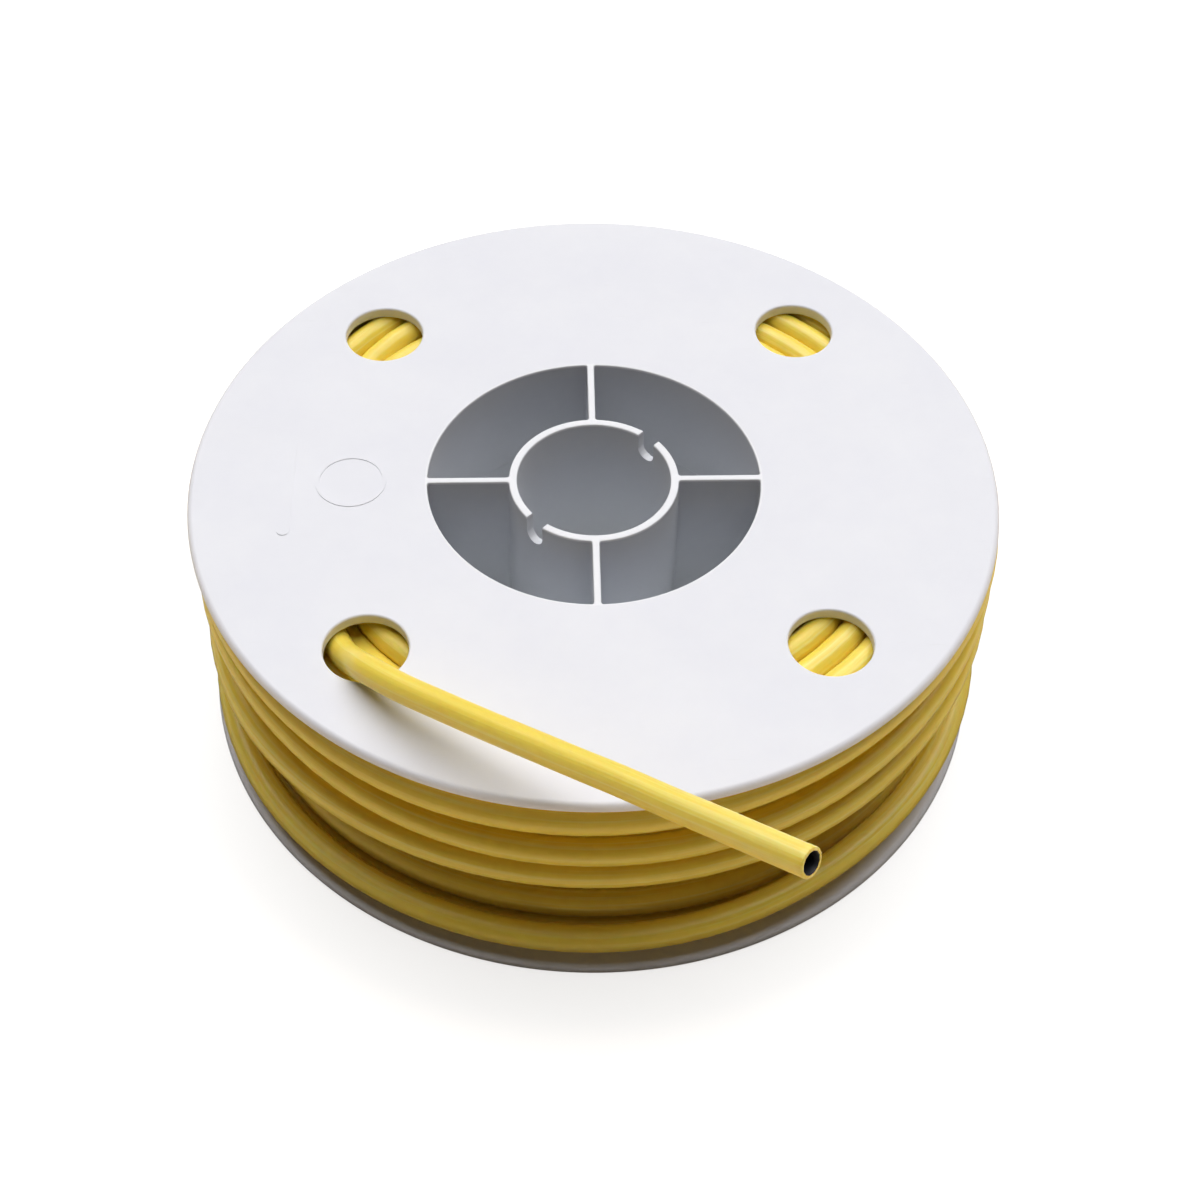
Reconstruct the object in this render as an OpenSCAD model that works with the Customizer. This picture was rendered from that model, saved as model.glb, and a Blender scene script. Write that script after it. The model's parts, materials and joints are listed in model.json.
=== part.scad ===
// Reel of flexible sleeving: a flanged plastic spool made of two moulded halves,
// wound with one continuous length of hollow tube. The tube's free end comes out
// through a hole in the upper flange.
//
// The spool stands on its lower flange. The origin is the centre of that flange's
// outer face, and the spindle bore runs along +Z.

/* [Spool] */
// Flange diameter
flange_d = 160; // [150:1:200]
// Flange thickness
flange_t = 2.5; // [2:0.1:3.5]
// Overall width, from the outer face of one flange to that of the other
spool_w = 55; // [50:1:60]
// Rounding of the flange's rim
rim_r = 0.8; // [0.4:0.1:0.9]

/* [Hub] */
// Diameter of the spindle bore
bore_d = 30.5; // [25:0.5:32]
// Wall of the ring round the bore
bore_wall = 1.6; // [1.2:0.1:2.4]
// Inner diameter of the barrel that the tube is wound on
barrel_id = 66; // [56:1:68]
// Wall of the barrel
barrel_wall = 1.8; // [1.6:0.1:2]
// Thickness of the four webs between the bore ring and the barrel
web_t = 1.4; // [1:0.1:2]

/* [Drive notches] */
// Width of each notch in the end of the bore ring
notch_w = 4.2; // [3:0.1:5]
// Depth of each notch, down to the bottom of its rounded end
notch_depth = 5.6; // [4:0.1:8]

/* [Flange holes] */
// Diameter of the holes in each flange
hole_d = 16; // [10:0.5:18]
// Diameter of the circle that the holes lie on
hole_circle_d = 122; // [110:1:126]

/* [Joint between the halves] */
// Height of the spigot on the lower half
lap_h = 4; // [2:0.5:8]
// Play all round the spigot
lap_play = 0.1; // [0.05:0.05:0.15]

/* [Tube] */
// Outer diameter of the tube
tube_od = 5.4; // [4:0.1:6]
// Bore of the tube
tube_id = 4; // [2:0.1:4.5]
// Outer radius of the full winding
winding_r = 78.6; // [76:0.1:79]

/* [Hidden] */
$fn = 96;
eps = 0.01;

web_count = 4;
hole_count = 4;
hole_start = 45;
notch_angles = [45, 225];

half_w = spool_w / 2;
flange_r = flange_d / 2;
bore_ring_r = bore_d / 2 + bore_wall;
barrel_ir = barrel_id / 2;
barrel_or = barrel_ir + barrel_wall;
// the spigot is the inner part of the barrel's wall, the socket is the rest
spigot_or = barrel_ir + barrel_wall / 2 - lap_play / 2;
socket_ir = spigot_or + lap_play;

// the winding, layer on layer, from the barrel out
layer_count = 8;
layer_t = (winding_r - barrel_or) / layer_count;
winding_z = flange_t;
winding_w = spool_w - 2 * flange_t;

// The free end's centre line: from the turn it belongs to, just under the upper
// flange, up through a flange hole, and out over the rim.
tail_route = [
    [-55.5, -25.5, 49.6],
    [-53, -30, 49.6],
    [-51, -33.5, 49.5],
    [-49.5, -36.5, 49.4],
    [-48, -40, 50.3],
    [-46.5, -43.5, 52.6],
    [-44.5, -47.5, 55.7],
    [-42, -51.5, 58.6],
    [-36, -57.5, 61],
    [-28, -64, 63.4],
    [-20, -70.5, 66],
    [-12.5, -76.5, 68.5],
    [-5, -82.5, 71],
    [2.5, -88.5, 73.6],
    [9.5, -94.5, 76.2],
    [16.5, -100.5, 79],
    [24, -107, 82],
    [31, -113, 84.8]
];
tail_sides = 12;

spool_colour = "white";
tube_colour = "gold";

layer_names = [for (k = [1 : layer_count]) str("tube_layer_", k)];

// ---------------------------------------------------------------- spool

// A flange's disc with a rounded rim, its outer face at z = 0.
module flange_disc() {
    rotate_extrude() {
        translate([barrel_ir, 0]) square([flange_r - rim_r - barrel_ir, flange_t]);
        translate([barrel_ir, rim_r]) square([flange_r - barrel_ir, flange_t - 2 * rim_r]);
        translate([flange_r - rim_r, rim_r]) circle(rim_r);
        translate([flange_r - rim_r, flange_t - rim_r]) circle(rim_r);
    }
}

module ring(inner_r, outer_r, height) {
    difference() {
        cylinder(h = height, r = outer_r);
        translate([0, 0, -eps]) cylinder(h = height + 2 * eps, r = inner_r);
    }
}

// The webs overlap the barrel's and the bore ring's walls, so that they join them.
module webs() {
    for (i = [0 : web_count - 1])
        rotate(i * 360 / web_count)
            translate([bore_ring_r - bore_wall / 2, -web_t / 2, 0])
                cube([barrel_ir - bore_ring_r + bore_wall / 2 + barrel_wall / 4, web_t, half_w]);
}

module flange_holes() {
    for (i = [0 : hole_count - 1])
        rotate(hole_start + i * 360 / hole_count)
            translate([hole_circle_d / 2, 0, -eps])
                cylinder(h = flange_t + 2 * eps, d = hole_d);
}

// A U-shaped notch, open at z = 0, cut through one side of the bore ring.
module notch() {
    length = bore_wall + 2;
    translate([bore_d / 2 - 1, 0, notch_depth - notch_w / 2])
        rotate([0, 90, 0])
            cylinder(h = length, d = notch_w);
    translate([bore_d / 2 - 1, -notch_w / 2, -1])
        cube([length, notch_w, notch_depth - notch_w / 2 + 1]);
}

// What both halves share: flange, half of the barrel, webs and half of the bore ring.
module half_shell() {
    difference() {
        union() {
            flange_disc();
            ring(barrel_ir, barrel_or, half_w);
            ring(bore_d / 2, bore_ring_r, half_w);
            webs();
        }
        flange_holes();
        for (a = notch_angles) rotate(a) notch();
    }
}

// The rim of the lower barrel that stands up inside the upper one. It is slotted
// where the upper webs come down, and that keys the halves to each other.
module spigot() {
    difference() {
        translate([0, 0, half_w - eps]) ring(barrel_ir, spigot_or, lap_h + eps);
        for (i = [0 : web_count - 1])
            rotate(i * 360 / web_count)
                translate([barrel_ir - 1, -web_t / 2 - lap_play, half_w])
                    cube([barrel_wall + 2, web_t + 2 * lap_play, lap_h + 1]);
    }
}

// The room for the spigot in the upper half, left solid where the webs pass.
module socket() {
    difference() {
        translate([0, 0, half_w - lap_h - lap_play])
            ring(barrel_ir - eps, socket_ir, lap_h + lap_play + 1);
        for (i = [0 : web_count - 1])
            rotate(i * 360 / web_count)
                translate([barrel_ir - 1, -web_t / 2, 0])
                    cube([barrel_wall + 2, web_t, spool_w]);
    }
}

module lower_spool_half() {
    color(spool_colour) {
        half_shell();
        spigot();
    }
}

module upper_spool_half() {
    color(spool_colour)
        translate([0, 0, spool_w])
            mirror([0, 0, 1])
                difference() {
                    half_shell();
                    socket();
                }
}

// ---------------------------------------------------------------- tube

// One layer of the winding, as the closed ring that its turns fill.
module tube_layer(k) {
    color(tube_colour)
        translate([0, 0, winding_z])
            ring(barrel_or + (k - 1) * layer_t, barrel_or + k * layer_t, winding_w);
}

function unit(v) = v / norm(v);

// The direction of the route at its point i.
function heading(route, i) =
    unit(route[min(i + 1, len(route) - 1)] - route[max(i - 1, 0)]);

// A ring of points round the route's point i, square to its heading.
function tube_ring(route, i, radius, sides) =
    let (
        ahead = heading(route, i),
        across = unit(cross(ahead, [0, 0, 1])),
        over = cross(across, ahead)
    )
    [for (s = [0 : sides - 1])
        route[i] + radius * (cos(s * 360 / sides) * across + sin(s * 360 / sides) * over)];

// A tube with a bore of radius inner: the outer wall's rings, then the bore's.
module swept_tube(route, outer, inner, sides) {
    rings = len(route);
    outer_points = [for (i = [0 : rings - 1]) each tube_ring(route, i, outer, sides)];
    inner_points = [for (i = [0 : rings - 1]) each tube_ring(route, i, inner, sides)];
    bore_start = rings * sides;
    last = (rings - 1) * sides;
    walls = [for (i = [0 : rings - 2], s = [0 : sides - 1])
        let (a = i * sides + s, b = i * sides + (s + 1) % sides)
        each [
            [a, b, b + sides],
            [a, b + sides, a + sides],
            [bore_start + b, bore_start + a, bore_start + a + sides],
            [bore_start + b, bore_start + a + sides, bore_start + b + sides]
        ]];
    ends = [for (s = [0 : sides - 1])
        let (a = s, b = (s + 1) % sides)
        each [
            [b, a, bore_start + a],
            [b, bore_start + a, bore_start + b],
            [last + a, last + b, bore_start + last + b],
            [last + a, bore_start + last + b, bore_start + last + a]
        ]];
    polyhedron(concat(outer_points, inner_points), concat(walls, ends));
}

module tube_tail() {
    color(tube_colour) swept_tube(tail_route, tube_od / 2, tube_id / 2, tail_sides);
}

upper_spool_half();
lower_spool_half();
tube_tail();
for (k = [1 : layer_count])
    tube_layer(k);
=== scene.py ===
"""Reel of flexible sleeving: a white two-flange plastic spool, wound with yellow hollow tube.

Design lengths are in millimetres, and are turned into metres where meshes are made.
Angles are in degrees, counterclockwise from +X as seen from above.
"""
import json
import math

import bmesh
import bpy
import numpy as np
from mathutils import Matrix, Vector, kdtree


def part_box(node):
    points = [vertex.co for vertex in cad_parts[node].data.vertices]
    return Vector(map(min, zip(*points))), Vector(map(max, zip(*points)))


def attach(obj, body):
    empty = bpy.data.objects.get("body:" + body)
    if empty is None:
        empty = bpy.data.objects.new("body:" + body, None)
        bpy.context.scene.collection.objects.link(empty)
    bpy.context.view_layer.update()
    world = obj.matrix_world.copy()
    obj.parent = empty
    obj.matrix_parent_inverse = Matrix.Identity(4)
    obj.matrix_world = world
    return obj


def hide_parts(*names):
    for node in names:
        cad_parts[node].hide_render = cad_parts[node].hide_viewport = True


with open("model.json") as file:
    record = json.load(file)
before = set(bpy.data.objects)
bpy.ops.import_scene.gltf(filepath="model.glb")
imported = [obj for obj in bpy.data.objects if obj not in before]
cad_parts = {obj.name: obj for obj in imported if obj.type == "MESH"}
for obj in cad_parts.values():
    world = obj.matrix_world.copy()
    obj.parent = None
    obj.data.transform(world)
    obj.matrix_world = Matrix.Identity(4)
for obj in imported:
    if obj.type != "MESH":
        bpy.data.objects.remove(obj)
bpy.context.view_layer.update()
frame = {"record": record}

MM = 0.001
scene = bpy.context.scene

# ---------------------------------------------------------------- camera

AIM = Vector((0.44, -32.05, 55)) * MM
AIM_DISTANCE = 419.2 * MM
CAMERA_ELEVATION = 48.63
CAMERA_TURN = -2
CAMERA_ROLL = 0.85
CAMERA_LENS = 66.72
CAMERA_SENSOR = 36
# nearest and furthest distance seen, in metres
CAMERA_CLIP = (0.01, 20)


def make_camera():
    """A camera AIM_DISTANCE from AIM, turned round the reel's axis and rolled about its own."""
    camera = bpy.data.objects.new("camera", bpy.data.cameras.new("camera"))
    elevation = math.radians(CAMERA_ELEVATION)
    turn = math.radians(CAMERA_TURN)
    roll = math.radians(CAMERA_ROLL)
    back = Vector((math.sin(turn) * math.cos(elevation), -math.cos(turn) * math.cos(elevation),
                   math.sin(elevation)))
    level = Vector((math.cos(turn), math.sin(turn), 0))
    right = level * math.cos(roll) + back.cross(level) * math.sin(roll)
    axes = Matrix((right, back.cross(right), back)).transposed()
    camera.matrix_world = Matrix.Translation(AIM + back * AIM_DISTANCE) @ axes.to_4x4()
    camera.data.sensor_width = CAMERA_SENSOR
    camera.data.lens = CAMERA_LENS
    camera.data.clip_start, camera.data.clip_end = CAMERA_CLIP
    scene.collection.objects.link(camera)
    scene.camera = camera


make_camera()

# ---------------------------------------------------------------- sizes
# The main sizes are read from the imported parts. The others are those of the parts' design.

LAYERS = [f"tube_layer_{k}" for k in range(1, 9)]
layer_outer = [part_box(name)[1].x / MM for name in LAYERS]
LAYER_T = layer_outer[1] - layer_outer[0]
LAYER_R = [r - LAYER_T / 2 for r in layer_outer]

FLANGE_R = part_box("upper_spool_half")[1].x / MM
SPOOL_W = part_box("upper_spool_half")[1].z / MM
FLANGE_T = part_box("tube_layer_1")[0].z / MM
HALF_W = SPOOL_W / 2
BORE_R = frame["record"]["mounts"][0]["dims"]["r_mm"]
RING_WALL = 1.6
RING_R = BORE_R + RING_WALL
BARREL_WALL = 1.8
BARREL_OR = layer_outer[0] - LAYER_T
BARREL_IR = BARREL_OR - BARREL_WALL
LAP_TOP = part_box("lower_spool_half")[1].z / MM
LAP_PLAY = 0.1
LAP_R = (BARREL_IR + BARREL_OR) / 2
WEB_T = 1.4
HOLE_R = 8
HOLE_CIRCLE_R = 61
HOLE_ANGLES = (45, 135, 225, 315)
NOTCH_ANGLES = (45, 225)
NOTCH_W = 4.2
NOTCH_DEPTH = 5.6

# roundings of the spool's edges
RIM_FILLET = 1.2
HOLE_FILLET = 0.45
EDGE_FILLET = 0.25
HOLLOW_CORNER = 0.6

# steps in the roundings, and points on the spool's circles and arcs
RIM_STEPS = 8
HOLE_STEPS = 4
EDGE_STEPS = 3
RIM_POINTS = 256
HOLE_POINTS = 72
BORE_POINTS = 96
BARREL_POINTS = 128
RELIEF_POINTS = 96
ARC_POINTS = 25
ROUND_END_POINTS = 13
# edges that bend more than this stay sharp
SHARP_ANGLE = 35

# blank raised marks on the upper flange: a ring, and a bar with rounded ends
RELIEF_T = 0.14
RELIEF_RING_AT = (-48, 0)
RELIEF_RING_R = 7
RELIEF_LINE = 0.8
RELIEF_BAR_AT = (-60.5, -1)
RELIEF_BAR = (2.6, 27)

TUBE_R = 2.7
TUBE_BORE_R = 2
TUBE_SIDES = 20
TUBE_BORE_SIDES = 12
CUT_LIP = 0.12

# ---------------------------------------------------------------- looks
# Shades are linear RGB.

SPOOL_SHADES = ((0.775, 0.775, 0.825), (0.81, 0.81, 0.85))
SCUFF_SHADE = (0.73, 0.73, 0.755)
# inside the barrel: a painted highlight on the end faces of the webs and the bore ring, and painted shade
# on the walls from top to bottom, dark at the top and turning to painted light deeper down
HUB_END_PAINTED_HIGHLIGHT = (0.86, 0.86, 0.89)
HUB_TOP_PAINTED_SHADE = (0.62, 0.63, 0.67)
HUB_DEEP_PAINTED_LIGHT = (0.93, 0.96, 1)
HUB_DEEP_Z = 0.4 * SPOOL_W
# The end shade fades out between these distances past the barrel's inner wall, and the walls' shade
# between this depth and the edges' rounding.
HUB_FADE = (0.3, 0.5)
HUB_WALL_DEPTH = 0.7

TUBE_SHADES = ((0.90, 0.68, 0.085), (0.94, 0.73, 0.11))
TUBE_MOTTLE_SHADE = (0.87, 0.64, 0.075)
TUBE_LINE_SHADE = (0.98, 0.86, 0.32)
# the tube's inner wall is painted near-black: painted shade inside the tube
TUBE_BORE_PAINTED_SHADES = ((0.012, 0.012, 0.02), (0.03, 0.03, 0.04))

# sizes of the scenery in metres
FLOOR_HALF = 6
BACKDROP_R = 15
FLOOR_SHADE = (0.9, 0.9, 0.9)
FLOOR_MOTTLE_SHADE = (0.5, 0.5, 0.5)
FLOOR_GLOW = 0.85
BACKDROP_GLOW = 1.3
# near the reel the bounce floor is painted dark and warm: a painted shadow of the reel with painted yellow
# light off the tube
BOUNCE_NEAR_PAINTED_SHADOW = (0.06, 0.04, 0.015)
BOUNCE_FAR = (0.9, 0.75, 0.57)
BOUNCE_GLOW = 0.67
FLOOR_NEAR_R = 90
FLOOR_FAR_R = 135

WORLD_SHADE = (1, 0.98, 0.97)
WORLD_LIGHT = 0.025
KEY_TOWARDS = (0.08, 0.48, 1)
KEY_WIDTH = 72
KEY_STRENGTH = 3.45
# the side lights are to the left and right, and this much towards +Y and +Z
SIDE_TOWARDS = (-0.35, 0.2)
SIDE_WIDTH = 45
SIDE_STRENGTH = 0.18
SIDE_SHADE = (1, 0.9, 0.74)

# ---------------------------------------------------------------- the tube's centre line

# distance between the line's points while its turns are moved
STEP = TUBE_R
LOW_Z = FLANGE_T + TUBE_R
HIGH_Z = SPOOL_W - FLANGE_T - TUBE_R
TAIL_ROUTE = [
    (-55.5, -25.5, 49.6), (-53, -30, 49.6), (-51, -33.5, 49.5), (-49.5, -36.5, 49.4),
    (-48, -40, 50.3), (-46.5, -43.5, 52.6), (-44.5, -47.5, 55.7), (-42, -51.5, 58.6),
    (-36, -57.5, 61), (-28, -64, 63.4), (-20, -70.5, 66), (-12.5, -76.5, 68.5),
    (-5, -82.5, 71), (2.5, -88.5, 73.6), (9.5, -94.5, 76.2), (16.5, -100.5, 79),
    (24, -107, 82), (31, -113, 84.8)]
# points from one of these to the next
TAIL_SAMPLES = 8

# Knots of the winding are (angle along the winding, radius, height). An angle's
# remainder by 360 is the place round the reel.
FIRST_ANGLE = -7240
FIRST_LAYERS = 4
LAYER_DWELL = 270
LAYER_CLIMB = 1360
LAYER_STEP_UP = 60
OUTER_R = 75.6

# The outer turns are oval. OVAL_SPAN gives the angles where that starts, is full, and ends.
OVAL = 1.7
OVAL_SHIFT = 0.5
OVAL_SPAN = (4390, 4750, 7600, 7760)

# The line is rounded over ROUNDING samples that are FINE degrees apart.
FINE = 2
ROUNDING = 4

# Turns before the first of these angles may be moved off each other, and none after the second.
FREE_SPAN = (5300, 5400)
TURN_CLEARANCE = 0.08
PUSH_SHARE = 0.25
PUSH_ROUNDING = 3
NEIGHBOURS = 8


def first_layers():
    """The inner layers: each goes along one flange, across to the other and along it, then steps out."""
    knots = []
    angle = FIRST_ANGLE
    for k in range(FIRST_LAYERS):
        start, end = (HIGH_Z, LOW_Z) if k % 2 == 0 else (LOW_Z, HIGH_Z)
        across = angle + LAYER_DWELL
        arrive = across + LAYER_CLIMB
        leave = arrive + LAYER_DWELL
        knots += [(angle, LAYER_R[k], start), (across, LAYER_R[k], start)]
        knots += [(arrive, LAYER_R[k], end), (leave, LAYER_R[k], end)]
        angle = leave + LAYER_STEP_UP
    return knots[:-1]


# Under the upper flange the turns make a flat spiral, which the flange's holes show.
# It dips where the tail passes over it.
TOP_OF_4_AND_5 = [
    (270, 53.9, 49.8), (315, 54.9, 49.8), (405, 56, 49.8), (495, 57.3, 49.8), (525, 57.8, 49.4),
    (550, 58.2, 46.2), (595, 58.9, 46), (640, 60, 49.4), (675, 60.6, 49.8), (780, 61.6, 49.8)]
LAYERS_5_AND_6 = [
    (860, LAYER_R[4], 47.2), (2130, LAYER_R[4], LOW_Z), (2400, LAYER_R[4], LOW_Z),
    (2460, LAYER_R[5], LOW_Z), (2610, LAYER_R[5], LOW_Z), (2680, 67, LOW_Z), (2870, 67, LOW_Z),
    (2930, LAYER_R[5], 7), (3960, LAYER_R[5], 46.6)]
TOP_OF_6_AND_7 = [
    (4050, 62, 49.6), (4095, 62.4, 49.2), (4125, 63, 46.5), (4150, 63.5, 44.3), (4195, 64.1, 44.2),
    (4240, 65, 48.5), (4275, 65.8, 49.8), (4365, 66.7, 49.8), (4390, 67, 49.8)]
LAYER_7 = [(angle, LAYER_R[6], height) for angle, height in (
    (4470, 46), (4585, 42.5), (4945, 32), (5305, 21), (5500, 15.5), (5550, 12), (5580, 10.4),
    (5610, 10.5), (5650, 10.3), (5690, 10.5), (5740, 11), (5765, 8.5), (5800, LOW_Z), (5900, LOW_Z))]
# The first turn of layer 8 lies low and inward. The second one passes over it at the front.
UNDER_TURN = [
    (5930, 70.8, LOW_Z), (5950, 71.2, LOW_Z), (5970, 71.8, 5.8), (5985, 72, 5.9), (6000, 72.2, 5.6),
    (6015, 72.5, LOW_Z), (6030, 72.4, 5.4), (6045, 72.4, 5.5), (6060, 72.2, 5.6), (6085, 72, 5.5),
    (6100, 72.8, 5.4), (6110, 74, 5.4), (6120, 75, 5.4), (6140, 75.6, LOW_Z),
    (6250, 75.7, 5.6), (6270, 75.7, 6.8), (6290, 75.6, 7.8)]
OVER_TURN = [
    (6310, 75.6, 8.5), (6325, 76.2, 8), (6335, 76.4, 7.7), (6345, 76.7, 8), (6360, 77, 8.2),
    (6375, 77.2, 8.4), (6390, 77.2, 8.4), (6405, 77.1, 9), (6415, 76.8, 10.1), (6423, 76.5, 11.2),
    (6435, 76, 11.4), (6440, 75.8, 11), (6450, 75.6, 10.9), (6465, 75.6, 11.3), (6480, 75.6, 12)]
LAYER_8 = [(angle, OUTER_R, height) for angle, height in (
    (6540, 13.5), (6600, 18.5), (6660, 22.5), (6688, 24.8), (6695, 26.2), (6705, 26.8), (6720, 27.5),
    (6735, 27.8), (6765, 28.2), (6788, 28.6), (6802, 31.5), (6825, 33), (6920, 36), (7000, 38.5),
    (7040, 40), (7055, 39.8), (7065, 37.2), (7080, 35.6), (7095, 34.8), (7110, 34.9), (7125, 35.4),
    (7140, 36.2), (7155, 38.4), (7162, 40), (7185, 42), (7245, 44), (7335, 45.2), (7380, 46.4),
    (7408, 47.2), (7415, 46.7), (7425, 45.3), (7440, 44.1), (7455, 44.2), (7470, 44.4), (7485, 45.5),
    (7500, 46.9), (7515, 49.2), (7530, 49.8), (7600, 49.8))]
# The last turn runs under the upper flange, and inward to the tail.
LAST_TURN = [
    (7690, 73.6, 49.8), (7743, 72.7, 49.8), (7768, 72.1, 49.8), (7828, 72, 49.8), (7873, 71.4, 49.8),
    (7920, 71.4, 49.8), (7965, 71.3, 49.8), (8010, 69.6, 49.8), (8055, 67.2, 49.8), (8085, 64.7, 49.7),
    (8105, 62.75, 49.6)]


def oval(angle):
    """How far the springy outer turns stand out: most at the sides, and more on the right."""
    share = np.interp(angle, OVAL_SPAN, (0, 1, 1, 0))
    turn = np.radians(angle)
    return share * (OVAL * np.cos(turn) ** 2 + OVAL_SHIFT * np.cos(turn))


def smooth(values, reach):
    """Gaussian smoothing along the first axis. reach is the standard deviation in samples."""
    span = int(3 * reach)
    kernel = np.exp(-0.5 * (np.arange(-span, span + 1) / reach) ** 2)
    kernel /= kernel.sum()
    padded = np.concatenate([np.repeat(values[:1], span, 0), values, np.repeat(values[-1:], span, 0)])
    return np.stack([np.convolve(column, kernel, "valid") for column in padded.T], 1)


def spaced(points, step):
    """The same line with its points step apart. Columns after x, y and z are carried along."""
    run = np.concatenate([[0], np.cumsum(np.linalg.norm(np.diff(points[:, :3], axis=0), axis=1))])
    places = np.linspace(0, run[-1], max(2, round(run[-1] / step) + 1))
    return np.stack([np.interp(places, run, column) for column in points.T], 1)


def tail_line():
    """The tail's route as a smooth curve through its points."""
    route = np.array(TAIL_ROUTE, float)
    ends = np.vstack([2 * route[0] - route[1], route, 2 * route[-1] - route[-2]])
    line = []
    for a, b, c, d in zip(ends, ends[1:], ends[2:], ends[3:]):
        for t in np.arange(0, 1, 1 / TAIL_SAMPLES):
            line.append(b + 0.5 * t * (c - a + t * (2 * a - 5 * b + 4 * c - d + t * (3 * (b - c) + d - a))))
    return np.array(line + [route[-1]])


def winding_line():
    """The wound tube from its inner end to the tail, as x, y, z and the angle along the winding."""
    knots = first_layers() + TOP_OF_4_AND_5 + LAYERS_5_AND_6 + TOP_OF_6_AND_7 + LAYER_7
    knots += UNDER_TURN + OVER_TURN + LAYER_8 + LAST_TURN
    # the tail's first points join on as knots, so that the winding runs smoothly into it
    last = knots[-1][0] // 360 * 360
    for x, y, z in TAIL_ROUTE[:3]:
        knots.append((last + math.degrees(math.atan2(y, x)) % 360, math.hypot(x, y), z))
    angle, radius, height = np.array(knots, float).T
    fine = np.arange(angle[0], angle[-1], FINE)
    sharp = np.stack([np.interp(fine, angle, radius), np.interp(fine, angle, height)], 1)
    rounded = smooth(sharp, ROUNDING)
    turn = np.radians(fine)
    radius = rounded[:, 0] + oval(fine)
    line = np.stack([radius * np.cos(turn), radius * np.sin(turn), rounded[:, 1], fine], 1)
    return line[fine < angle[-3] - FINE]


def near_pairs(points, reach, apart):
    """Pairs of points closer than reach that lie at least apart points away along the line."""
    tree = kdtree.KDTree(len(points))
    for i, point in enumerate(points):
        tree.insert(point, i)
    tree.balance()
    pairs = [(i, j) for i, point in enumerate(points)
             for _, j, _ in tree.find_range(point, reach) if j > i + apart]
    return np.array(pairs).T


def settle(line, free, rounds=60, renew=10):
    """Moves turns that lie in each other apart, and keeps them between the barrel and the flanges.

    free is each point's share of the move, and a point where it is 0 stays.
    """
    clear = 2 * TUBE_R + TURN_CLEARANCE
    for step in range(rounds):
        if step % renew == 0:
            first, second = near_pairs(line, clear + 2 * TUBE_R, NEIGHBOURS)
        gap = line[second] - line[first]
        distance = np.linalg.norm(gap, axis=1)
        push = gap * (np.maximum(clear - distance, 0) / distance * PUSH_SHARE)[:, None]
        move = np.zeros_like(line)
        np.add.at(move, second, push)
        np.add.at(move, first, -push)
        line = line + smooth(move, PUSH_ROUNDING) * free[:, None]
        radius = np.hypot(line[:, 0], line[:, 1])
        kept = np.clip(radius, LAYER_R[0], LAYER_R[-1])
        bound = free > 0
        line[bound, :2] *= (kept / radius)[bound, None]
        line[bound, 2] = np.clip(line[bound, 2], LOW_Z, HIGH_Z)
    return line


def tube_line():
    """Ring centres of the whole tube in millimetres, from its inner end to the open end of the tail.

    They are two steps apart in the winding, and half a step in the tail. The tail keeps its place.
    """
    winding = spaced(winding_line(), STEP)
    free = np.interp(winding[:, 3], FREE_SPAN, (1, 0))
    tail = spaced(tail_line(), STEP)
    line = settle(np.vstack([winding[:, :3], tail]), np.concatenate([free, np.zeros(len(tail))]))
    return np.vstack([line[:len(winding)][::2], spaced(tail_line(), STEP / 2)])


# ---------------------------------------------------------------- meshes

def new_object(name, mesh):
    made = bpy.data.objects.new(name, mesh)
    scene.collection.objects.link(made)
    return made


def mesh_from(name, solid):
    """Turns a bmesh into a mesh, and frees it."""
    mesh = bpy.data.meshes.new(name)
    solid.to_mesh(mesh)
    solid.free()
    return mesh


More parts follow.
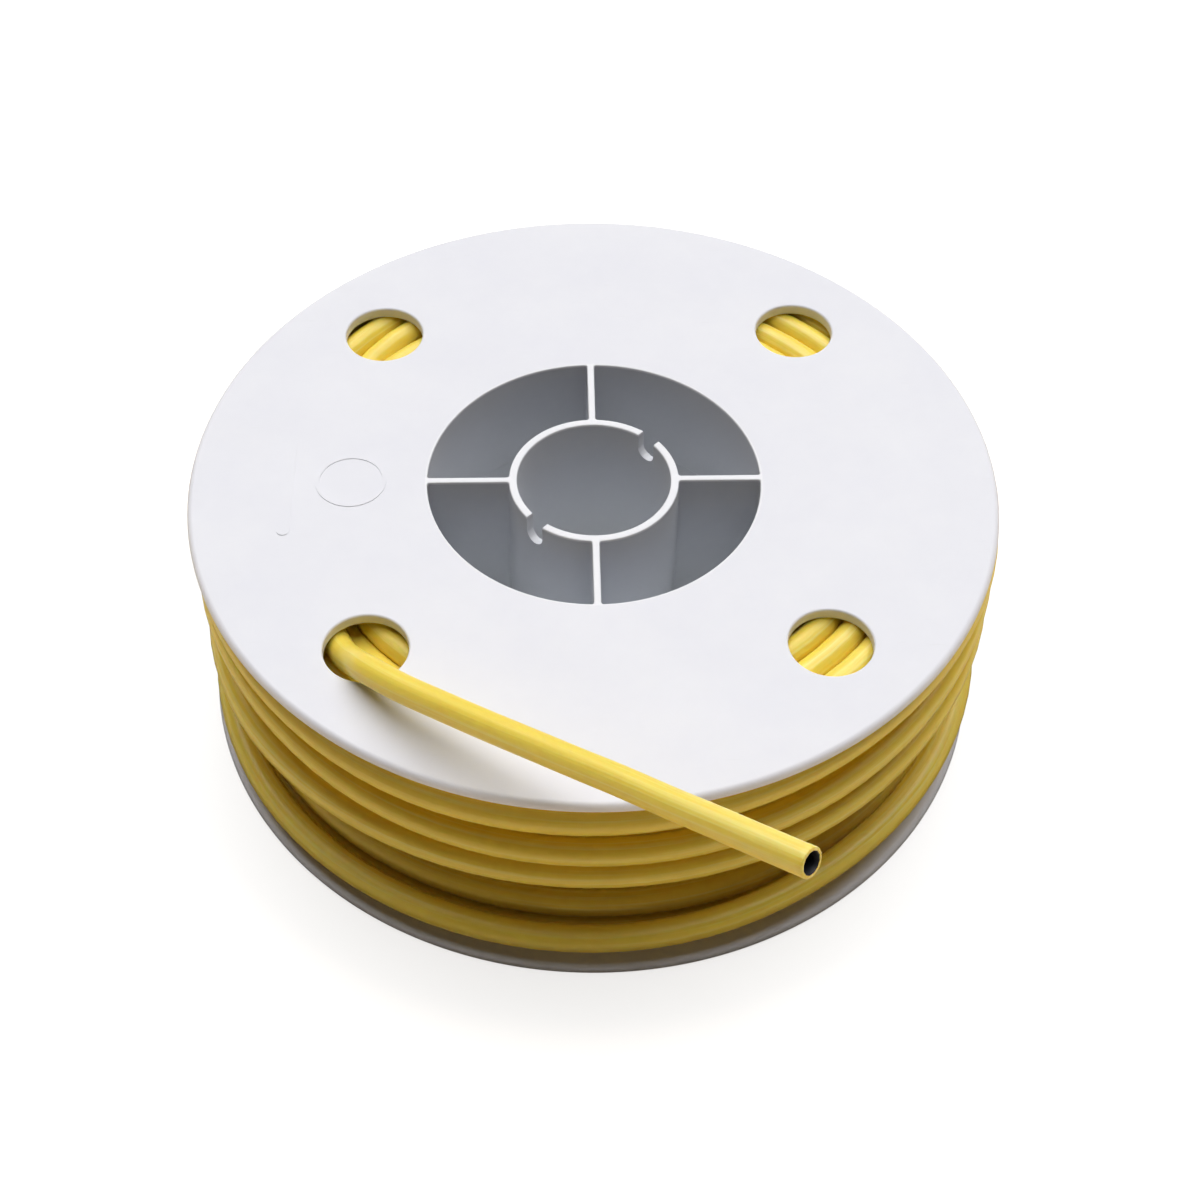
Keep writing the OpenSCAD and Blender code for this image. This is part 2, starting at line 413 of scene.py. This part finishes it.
def tube_mesh(name, line, sides, bore_sides):
    """A hollow tube round line, its cut ends slightly rounded, with a lay attribute for its material."""
    ahead = np.gradient(line, axis=0)
    ahead /= np.linalg.norm(ahead, axis=1)[:, None]
    across = np.cross(ahead, (0, 0, 1))
    across /= np.linalg.norm(across, axis=1)[:, None]
    over = np.cross(across, ahead)
    run = np.concatenate([[0], np.cumsum(np.linalg.norm(np.diff(line, axis=0), axis=1))])

    vertices, lay, faces = [], [], []

    def ring(i, radius, count, shift=0):
        """Adds a ring of vertices round the line's point i, and gives back their numbers."""
        turn = np.arange(count) * 2 * math.pi / count
        spokes = np.outer(np.cos(turn), across[i]) + np.outer(np.sin(turn), over[i])
        start = len(vertices)
        vertices.extend((line[i] + spokes * radius + ahead[i] * shift) * MM)
        lay.extend(np.stack([np.cos(turn), np.sin(turn), np.full(count, run[i] * MM)], 1))
        return range(start, start + count)

    def join(a, b):
        faces.extend((a[s], a[(s + 1) % len(a)], b[(s + 1) % len(b)], b[s]) for s in range(len(a)))

    def strip(a, b):
        """Joins rings of different counts with triangles."""
        i, j = 0, 0
        while i < len(a) or j < len(b):
            ahead_a = (i + 1) / len(a) <= (j + 1) / len(b)
            if ahead_a and i < len(a):
                faces.append((a[i % len(a)], a[(i + 1) % len(a)], b[j % len(b)]))
                i += 1
            else:
                faces.append((b[(j + 1) % len(b)], b[j % len(b)], a[i % len(a)]))
                j += 1

    def rings(radius, cut_radius, count):
        """The rings of one wall, with the given radius at the cut ends."""
        made = [ring(0, cut_radius, count)] + [ring(i, radius, count) for i in range(1, end)]
        return made + [ring(end, radius, count, -CUT_LIP), ring(end, cut_radius, count)]

    end = len(line) - 1
    outside = rings(TUBE_R, TUBE_R - CUT_LIP, sides)
    inside = rings(TUBE_BORE_R, TUBE_BORE_R + CUT_LIP, bore_sides)
    for a, b in zip(outside, outside[1:]):
        join(b, a)
    for a, b in zip(inside, inside[1:]):
        join(a, b)
    strip(outside[0], inside[0])
    strip(inside[-1], outside[-1])

    mesh = bpy.data.meshes.new(name)
    mesh.from_pydata([tuple(v) for v in vertices], [], faces)
    bore_start = len(outside[1:]) * sides
    for i in range(bore_start, bore_start + len(inside[1:]) * bore_sides):
        mesh.polygons[i].material_index = 1
    attribute = mesh.attributes.new("lay", "FLOAT_VECTOR", "POINT")
    attribute.data.foreach_set("vector", np.array(lay, np.float32).ravel())
    mesh.shade_smooth()
    mesh.update()
    return mesh


def circle(radius, count, centre=(0, 0)):
    turn = np.arange(count) * 2 * math.pi / count
    return np.stack([centre[0] + radius * np.cos(turn), centre[1] + radius * np.sin(turn)], 1)


def turned(points, degrees):
    turn = math.radians(degrees)
    return points @ np.array([[math.cos(turn), math.sin(turn)], [-math.sin(turn), math.cos(turn)]])


def hollow_outline(outer, grow):
    """The hollow between the webs in the quadrant of +X and +Y, as arcs, lines and rounded corners.

    The points of its outer arc come first, ARC_POINTS of them.
    """
    inner = RING_R - grow
    outer = outer + grow
    side = WEB_T / 2 - grow

    def on_arc(radius, start, stop, count):
        turn = np.linspace(start, stop, count)
        return np.stack([radius * np.cos(turn), radius * np.sin(turn)], 1)

    def rounded(a, tip, b):
        t = np.linspace(0, 1, 6)[1:-1, None]
        return (1 - t) ** 2 * a + 2 * t * (1 - t) * tip + t ** 2 * b

    far = math.sqrt(outer ** 2 - side ** 2)
    near = math.sqrt(inner ** 2 - side ** 2)
    quarter = math.pi / 2
    outer_start = (side + HOLLOW_CORNER) / outer
    inner_start = (side + HOLLOW_CORNER) / inner
    outer_arc = on_arc(outer, outer_start, quarter - outer_start, ARC_POINTS)
    inner_arc = on_arc(inner, quarter - inner_start, inner_start, ARC_POINTS)
    web_y = np.array([(side, far - HOLLOW_CORNER), (side, near + HOLLOW_CORNER)])
    web_x = web_y[::-1, ::-1]
    return np.vstack([
        outer_arc, rounded(outer_arc[-1], np.array((side, far)), web_y[0]),
        web_y, rounded(web_y[1], np.array((side, near)), inner_arc[0]),
        inner_arc, rounded(inner_arc[-1], np.array((near, side)), web_x[0]),
        web_x, rounded(web_x[1], np.array((far, side)), outer_arc[0])])


def edge_profile(radius, steps):
    """A rounded edge as (how far the outline has grown, depth below the face)."""
    turns = np.linspace(0, math.pi / 2, steps + 1)
    return [(radius * (1 - math.sin(t)), radius * (1 - math.cos(t))) for t in turns]


class Shell:
    """A closed mesh built from level outlines. Depth is measured from the flange's outer face."""

    def __init__(self, upper):
        self.mesh = bmesh.new()
        self.upper = upper

    def outline(self, points, depth):
        z = SPOOL_W - depth if self.upper else depth
        return [self.mesh.verts.new((x * MM, y * MM, z * MM)) for x, y in points]

    def wall(self, a, b, closed=True):
        for s in range(len(a) if closed else len(a) - 1):
            t = (s + 1) % len(a)
            self.mesh.faces.new((a[s], a[t], b[t], b[s]))

    def walls(self, rows):
        """Joins the outlines of (points, depth) rows, and gives back the first and the last."""
        loops = [self.outline(points, depth) for points, depth in rows]
        for a, b in zip(loops, loops[1:]):
            self.wall(a, b)
        return loops[0], loops[-1]

    def cap(self, loops):
        edges = []
        for loop in loops:
            for a, b in zip(loop, loop[1:] + loop[:1]):
                edges.append(self.mesh.edges.get((a, b)) or self.mesh.edges.new((a, b)))
        bmesh.ops.triangle_fill(self.mesh, use_beauty=True, edges=edges, normal=(0, 0, 1))

    def finished(self, name):
        bmesh.ops.recalc_face_normals(self.mesh, faces=self.mesh.faces)
        return new_object(name, mesh_from(name, self.mesh))


def spool_half(name, upper):
    """Flange, half of the barrel, webs and half of the bore ring, before its notches are cut."""
    shell = Shell(upper)
    edge = edge_profile(EDGE_FILLET, EDGE_STEPS)
    rim = [(circle(FLANGE_R - g, RIM_POINTS), d) for g, d in edge_profile(RIM_FILLET, RIM_STEPS)]
    rim += [(points, FLANGE_T - d) for points, d in reversed(rim)]
    rim_top, rim_under = shell.walls(rim)

    hole_edge = edge_profile(HOLE_FILLET, HOLE_STEPS)
    holes_top, holes_under = [], []
    for angle in HOLE_ANGLES:
        centre = turned(np.array([[HOLE_CIRCLE_R, 0]]), angle)[0]
        rows = [(circle(HOLE_R + g, HOLE_POINTS, centre), d) for g, d in hole_edge]
        rows += [(points, FLANGE_T - d) for points, d in reversed(rows)]
        top, under = shell.walls(rows)
        holes_top.append(top)
        holes_under.append(under)

    bore = [(circle(BORE_R + g, BORE_POINTS), d) for g, d in edge]
    bore_top, bore_end = shell.walls(bore + [(circle(BORE_R, BORE_POINTS), HALF_W)])
    barrel = circle(BARREL_OR, BARREL_POINTS)
    barrel_top, barrel_end = shell.walls([(barrel, FLANGE_T), (barrel, HALF_W)])

    hollows_top, hollows_end = [], []
    for quarter in range(4):
        rows = [(hollow_outline(BARREL_IR, g), d) for g, d in edge]
        plain = hollow_outline(BARREL_IR, 0)
        if upper:
            socket = hollow_outline(LAP_R + LAP_PLAY / 2, 0)
            step_depth = SPOOL_W - LAP_TOP - LAP_PLAY
            rows += [(plain, step_depth), (socket, step_depth), (socket, HALF_W)]
        else:
            rows.append((plain, HALF_W))
        top, end = shell.walls([(turned(points, quarter * 90), d) for points, d in rows])
        hollows_top.append(top)
        hollows_end.append(end if upper else spigot(shell, end))

    shell.cap([rim_top, bore_top] + holes_top + hollows_top)
    shell.cap([rim_under, barrel_top] + holes_under)
    shell.cap([barrel_end, bore_end] + hollows_end)
    return shell.finished(name)


def spigot(shell, hollow):
    """Raises the barrel's inner wall round one hollow, and gives back the outline left in the end face."""
    inner = hollow[:ARC_POINTS]
    reach = (LAP_R - LAP_PLAY / 2) / BARREL_IR
    spots = [(v.co.x / MM, v.co.y / MM) for v in inner]
    beyond = [(x * reach, y * reach) for x, y in spots]
    top = [shell.outline(points, LAP_TOP) for points in (spots, beyond)]
    rows = [inner, *top, shell.outline(beyond, HALF_W)]
    for a, b in zip(rows, rows[1:]):
        shell.wall(a, b, closed=False)
    for i in (0, -1):
        shell.mesh.faces.new([row[i] for row in rows])
    return [inner[0]] + rows[-1] + [inner[-1]] + hollow[ARC_POINTS:]


def prism(name, points, low, high):
    """A closed upright solid over an outline, from height low to high."""
    mesh = bmesh.new()
    bottom = [mesh.verts.new((x * MM, y * MM, low * MM)) for x, y in points]
    top = [mesh.verts.new((x * MM, y * MM, high * MM)) for x, y in points]
    for s in range(len(points)):
        t = (s + 1) % len(points)
        mesh.faces.new((bottom[s], bottom[t], top[t], top[s]))
    mesh.faces.new(bottom)
    mesh.faces.new(top)
    bmesh.ops.recalc_face_normals(mesh, faces=mesh.faces)
    return new_object(name, mesh_from(name, mesh))


def combine(obj, tool, operation):
    """Applies an exact boolean to obj, and removes the tool."""
    step = obj.modifiers.new("combine", "BOOLEAN")
    step.object = tool
    step.operation = operation
    step.solver = "EXACT"
    made = bpy.data.meshes.new_from_object(obj.evaluated_get(bpy.context.evaluated_depsgraph_get()))
    obj.modifiers.clear()
    obj.data = made
    bpy.data.objects.remove(tool)


def cut_notches(half, upper):
    """The U-shaped notches in the end of the bore ring."""
    half_notch = NOTCH_W / 2
    arch = np.linspace(0, math.pi, ROUND_END_POINTS)
    bend = NOTCH_DEPTH - half_notch
    profile = [(half_notch * math.cos(t), bend + half_notch * math.sin(t)) for t in arch]
    profile += [(-half_notch, -1), (half_notch, -1)]
    for angle in NOTCH_ANGLES:
        # it reaches past both faces of the ring's wall
        tool = prism("notch", profile, BORE_R - 1, RING_R + 0.6)
        # the prism's height becomes the radius, and its second axis the depth
        out = Vector((math.cos(math.radians(angle)), math.sin(math.radians(angle)), 0))
        down = Vector((0, 0, -1 if upper else 1))
        axes = Matrix((down.cross(out), down, out)).transposed()
        face = Vector((0, 0, SPOOL_W * MM if upper else 0))
        tool.data.transform(Matrix.Translation(face) @ axes.to_4x4())
        combine(half, tool, "DIFFERENCE")


def soften(obj):
    """Smooth shading whose normals keep flat faces flat."""
    obj.data.shade_smooth()
    obj.data.set_sharp_from_angle(angle=math.radians(SHARP_ANGLE))
    weighted = obj.modifiers.new("normals", "WEIGHTED_NORMAL")
    weighted.weight = 100
    weighted.mode = "FACE_AREA"
    weighted.keep_sharp = True


def add_relief(half):
    """Blank raised marks on the outer face: a thin ring, and a bar with rounded ends beside it."""
    low, high = SPOOL_W - 1, SPOOL_W + RELIEF_T
    mark = prism("ring", circle(RELIEF_RING_R, RELIEF_POINTS, RELIEF_RING_AT), low, high)
    inner = circle(RELIEF_RING_R - RELIEF_LINE, RELIEF_POINTS, RELIEF_RING_AT)
    core = prism("core", inner, low - 1, high + 1)
    combine(mark, core, "DIFFERENCE")
    combine(half, mark, "UNION")
    x, y = RELIEF_BAR_AT
    half_w = RELIEF_BAR[0] / 2
    half_l = RELIEF_BAR[1] / 2 - half_w
    arch = np.linspace(0, math.pi, ROUND_END_POINTS)
    ends = [(x + half_w * math.cos(t), y + half_l + half_w * math.sin(t)) for t in arch]
    ends += [(2 * x - px, 2 * y - py) for px, py in ends]
    combine(half, prism("bar", ends, low, high), "UNION")


# ---------------------------------------------------------------- materials

def add_node(tree, kind, **values):
    """A shader node with its settings, or its inputs by name with spaces written as underscores."""
    made = tree.nodes.new(kind)
    for name, value in values.items():
        if hasattr(made, name):
            setattr(made, name, value)
        else:
            made.inputs[name.replace("_", " ")].default_value = value
    return made


def noise(tree, vector, scale, detail=3, roughness=0.5):
    made = add_node(tree, "ShaderNodeTexNoise", Scale=scale, Detail=detail, Roughness=roughness)
    tree.links.new(vector, made.inputs["Vector"])
    return made.outputs["Fac"]


def spread(tree, value, low, high, start=0.3, stop=0.7):
    """Maps a value's start-to-stop range to low-to-high. Most noise lies between 0.3 and 0.7."""
    made = add_node(tree, "ShaderNodeMapRange")
    for name, number in (("From Min", start), ("From Max", stop), ("To Min", low), ("To Max", high)):
        made.inputs[name].default_value = number
    tree.links.new(value, made.inputs["Value"])
    return made.outputs["Result"]


def blend_colours(tree, factor, a, b):
    made = add_node(tree, "ShaderNodeMix", data_type="RGBA")
    for socket, value in ((made.inputs[6], a), (made.inputs[7], b)):
        if hasattr(value, "is_linked"):
            tree.links.new(value, socket)
        else:
            socket.default_value = (*value, 1)
    tree.links.new(factor, made.inputs[0])
    return made.outputs[2]


def bump(tree, height, distance, strength=1, below=None):
    made = add_node(tree, "ShaderNodeBump", Strength=strength, Distance=distance)
    tree.links.new(height, made.inputs["Height"])
    if below:
        tree.links.new(below, made.inputs["Normal"])
    return made.outputs["Normal"]


def new_material(name):
    made = bpy.data.materials.new(name)
    made.use_nodes = True
    return made, made.node_tree, made.node_tree.nodes["Principled BSDF"]


def hub_masks(tree, place):
    """Two masks inside the barrel: 1 on everything there, and 1 on the walls but not their end faces."""
    across = add_node(tree, "ShaderNodeVectorMath", operation="MULTIPLY")
    across.inputs[1].default_value = (1, 1, 0)
    tree.links.new(place, across.inputs[0])
    radius = add_node(tree, "ShaderNodeVectorMath", operation="LENGTH")
    tree.links.new(across.outputs["Vector"], radius.inputs[0])
    parts = add_node(tree, "ShaderNodeSeparateXYZ")
    tree.links.new(place, parts.inputs[0])
    middle = add_node(tree, "ShaderNodeMath", operation="SUBTRACT")
    tree.links.new(parts.outputs["Z"], middle.inputs[0])
    middle.inputs[1].default_value = HALF_W * MM
    off = add_node(tree, "ShaderNodeMath", operation="ABSOLUTE")
    tree.links.new(middle.outputs[0], off.inputs[0])
    fade_start, fade_stop = [(BARREL_IR + past) * MM for past in HUB_FADE]
    inside = spread(tree, radius.outputs["Value"], 1, 0, fade_start, fade_stop)
    below = spread(tree, off.outputs[0], 1, 0, (HALF_W - HUB_WALL_DEPTH) * MM, (HALF_W - EDGE_FILLET) * MM)
    both = add_node(tree, "ShaderNodeMath", operation="MULTIPLY")
    tree.links.new(inside, both.inputs[0])
    tree.links.new(below, both.inputs[1])
    return inside, both.outputs[0]


def spool_plastic():
    """White moulded polystyrene: a satin skin with faint flow waves, fine grain and light scuffs.

    The hub's inner walls get painted shade, darkest at the top and turning to painted light deeper down,
    and the end faces inside the barrel get a painted highlight.
    """
    made, tree, shader = new_material("spool_plastic")
    place = add_node(tree, "ShaderNodeTexCoord").outputs["Object"]
    waves = noise(tree, place, 35, 2)
    grain = noise(tree, place, 2600, 4, 0.6)
    clouds = noise(tree, place, 60, 4, 0.6)
    stretched = add_node(tree, "ShaderNodeMapping", Scale=(1, 9, 1), Rotation=(0, 0, 0.7))
    tree.links.new(place, stretched.inputs["Vector"])
    scuffs = spread(tree, noise(tree, stretched.outputs["Vector"], 170, 6, 0.7), 0, 1, 0.62, 0.74)

    colour = blend_colours(tree, spread(tree, clouds, 0, 1), *SPOOL_SHADES)
    colour = blend_colours(tree, spread(tree, scuffs, 0, 0.35, 0, 1), colour, SCUFF_SHADE)
    height = add_node(tree, "ShaderNodeSeparateXYZ")
    tree.links.new(place, height.inputs[0])
    # painted shade on the hub's walls: dark at the top, painted light deeper down
    depth = spread(tree, height.outputs["Z"], 0, 1, SPOOL_W * MM, HUB_DEEP_Z * MM)
    hub_painted_shade = blend_colours(tree, depth, HUB_TOP_PAINTED_SHADE, HUB_DEEP_PAINTED_LIGHT)
    inside, walls = hub_masks(tree, place)
    # painted highlight on the end faces inside the barrel, then painted shade on its walls
    colour = blend_colours(tree, inside, colour, HUB_END_PAINTED_HIGHLIGHT)
    colour = blend_colours(tree, walls, colour, hub_painted_shade)
    tree.links.new(colour, shader.inputs["Base Color"])
    rough = add_node(tree, "ShaderNodeMath", operation="ADD")
    tree.links.new(spread(tree, clouds, 0.5, 0.58), rough.inputs[0])
    tree.links.new(spread(tree, scuffs, 0, 0.14, 0, 1), rough.inputs[1])
    tree.links.new(rough.outputs[0], shader.inputs["Roughness"])
    normal = bump(tree, waves, 0.0004)
    normal = bump(tree, grain, 0.00002, 0.5, normal)
    tree.links.new(normal, shader.inputs["Normal"])
    shader.inputs["IOR"].default_value = 1.5
    shader.inputs["Specular IOR Level"].default_value = 0.35
    shader.inputs["Subsurface Weight"].default_value = 0.12
    shader.inputs["Subsurface Radius"].default_value = (1, 1, 1)
    shader.inputs["Subsurface Scale"].default_value = 0.0015
    return made


def sleeving():
    """Yellow soft plastic tube: lengthwise extrusion lines, slow colour drift and a satin skin."""
    made, tree, shader = new_material("sleeving")
    lay = add_node(tree, "ShaderNodeAttribute", attribute_name="lay").outputs["Vector"]

    def along(across, lengthwise):
        """A place on the tube's skin. across scales the way round it, and lengthwise the way along it."""
        scaled = add_node(tree, "ShaderNodeVectorMath", operation="MULTIPLY")
        tree.links.new(lay, scaled.inputs[0])
        scaled.inputs[1].default_value = (across, across, lengthwise)
        return scaled.outputs["Vector"]

    lines = noise(tree, along(1.2, 5), 2.5, 4, 0.6)
    drift = noise(tree, along(0.3, 9), 1, 3)
    mottle = noise(tree, along(1, 160), 2.2, 4, 0.6)
    pores = noise(tree, along(3, 1100), 4, 3, 0.6)
    colour = blend_colours(tree, spread(tree, drift, 0, 1), *TUBE_SHADES)
    colour = blend_colours(tree, spread(tree, mottle, 0, 0.6), colour, TUBE_MOTTLE_SHADE)
    colour = blend_colours(tree, spread(tree, lines, 0, 0.7, 0.5, 0.72), colour, TUBE_LINE_SHADE)
    tree.links.new(colour, shader.inputs["Base Color"])
    tree.links.new(spread(tree, mottle, 0.3, 0.38), shader.inputs["Roughness"])
    normal = bump(tree, lines, 0.00012, 0.8)
    normal = bump(tree, pores, 0.00002, 0.6, normal)
    tree.links.new(normal, shader.inputs["Normal"])
    shader.inputs["IOR"].default_value = 1.5
    shader.inputs["Subsurface Weight"].default_value = 0.3
    shader.inputs["Subsurface Radius"].default_value = (1, 0.5, 0.1)
    shader.inputs["Subsurface Scale"].default_value = 0.001
    return made


def painted_shade_bore():
    """The tube's inner wall: a dull near-black skin, a painted shade for the dark inside the tube."""
    made, tree, shader = new_material("bore")
    place = add_node(tree, "ShaderNodeTexCoord").outputs["Object"]
    patches = noise(tree, place, 900)
    tree.links.new(blend_colours(tree, patches, *TUBE_BORE_PAINTED_SHADES), shader.inputs["Base Color"])
    tree.links.new(spread(tree, patches, 0.45, 0.65), shader.inputs["Roughness"])
    return made


def pale_floor(near, far, glow):
    """A glowing skin for the scenery, whose shade goes from near, by the reel, to far."""
    made, tree, shader = new_material("floor")
    place = add_node(tree, "ShaderNodeTexCoord").outputs["Object"]
    away = add_node(tree, "ShaderNodeVectorMath", operation="LENGTH")
    tree.links.new(place, away.inputs[0])
    reach = spread(tree, away.outputs["Value"], 0, 1, FLOOR_NEAR_R * MM, FLOOR_FAR_R * MM)
    mottle = spread(tree, noise(tree, place, 3), 0, 0.04, 0, 1)
    colour = blend_colours(tree, mottle, blend_colours(tree, reach, near, far), FLOOR_MOTTLE_SHADE)
    tree.links.new(colour, shader.inputs["Base Color"])
    tree.links.new(colour, shader.inputs["Emission Color"])
    shader.inputs["Roughness"].default_value = 0.9
    shader.inputs["Emission Strength"].default_value = glow
    return made


# ---------------------------------------------------------------- the object

line = tube_line()
tube = new_object("tube", tube_mesh("tube", line, TUBE_SIDES, TUBE_BORE_SIDES))
tube.data.materials.append(sleeving())
tube.data.materials.append(painted_shade_bore())
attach(tube, "root")
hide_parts("tube_tail", *LAYERS)

plastic = spool_plastic()
for name, upper in (("upper_half", True), ("lower_half", False)):
    half = spool_half(name, upper)
    cut_notches(half, upper)
    if upper:
        add_relief(half)
    soften(half)
    half.data.materials.append(plastic)
    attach(half, "root")
    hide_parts("upper_spool_half" if upper else "lower_spool_half")

# ---------------------------------------------------------------- floor and light

def staged(name, mesh, material):
    """Turns a bmesh into an object with the given material, for the scenery."""
    data = mesh_from(name, mesh)
    data.materials.append(material)
    made = new_object(name, data)
    return made


def make_floor(name, near, far, glow):
    mesh = bmesh.new()
    bmesh.ops.create_grid(mesh, x_segments=1, y_segments=1, size=FLOOR_HALF)
    return staged(name, mesh, pale_floor(near, far, glow))


def make_backdrop():
    """A white dome behind everything, so that a low view has no dark horizon. It lights nothing."""
    mesh = bmesh.new()
    bmesh.ops.create_uvsphere(mesh, u_segments=32, v_segments=16, radius=BACKDROP_R)
    dome = staged("backdrop", mesh, pale_floor(FLOOR_SHADE, FLOOR_SHADE, BACKDROP_GLOW))
    dome.visible_diffuse = False
    dome.visible_glossy = False
    dome.visible_shadow = False


def sun_light(name, towards, width, strength, colour=(1, 1, 1)):
    """A distant soft light. towards points from the reel to it, and width is its angle in degrees."""
    light = bpy.data.lights.new(name, "SUN")
    light.angle = math.radians(width)
    light.energy = strength
    light.color = colour
    made = bpy.data.objects.new(name, light)
    scene.collection.objects.link(made)
    made.rotation_euler = Vector(towards).to_track_quat("Z", "Y").to_euler()


def make_world(strength):
    world = bpy.data.worlds.new("world")
    world.use_nodes = True
    background = world.node_tree.nodes["Background"]
    background.inputs["Color"].default_value = (*WORLD_SHADE, 1)
    background.inputs["Strength"].default_value = strength
    scene.world = world


# The floor that is seen glows, so that it stays pale in the reel's shadow, and lights nothing.
# A second floor in the same place isn't seen. It gives the reel its light from below.
# Close to the reel it is painted dark and warm: a painted shadow of the reel, tinted by painted yellow
# light off the tube.
seen_floor = make_floor("floor", FLOOR_SHADE, FLOOR_SHADE, FLOOR_GLOW)
seen_floor.visible_diffuse = False
seen_floor.visible_glossy = False
bounce_floor = make_floor("bounce_floor", BOUNCE_NEAR_PAINTED_SHADOW, BOUNCE_FAR, BOUNCE_GLOW)
bounce_floor.visible_camera = False
bounce_floor.visible_shadow = False
make_backdrop()
make_world(WORLD_LIGHT)
sun_light("key", KEY_TOWARDS, KEY_WIDTH, KEY_STRENGTH)
for side in (-1, 1):
    sun_light("side", (side, *SIDE_TOWARDS), SIDE_WIDTH, SIDE_STRENGTH, SIDE_SHADE)
scene.view_settings.view_transform = "Standard"
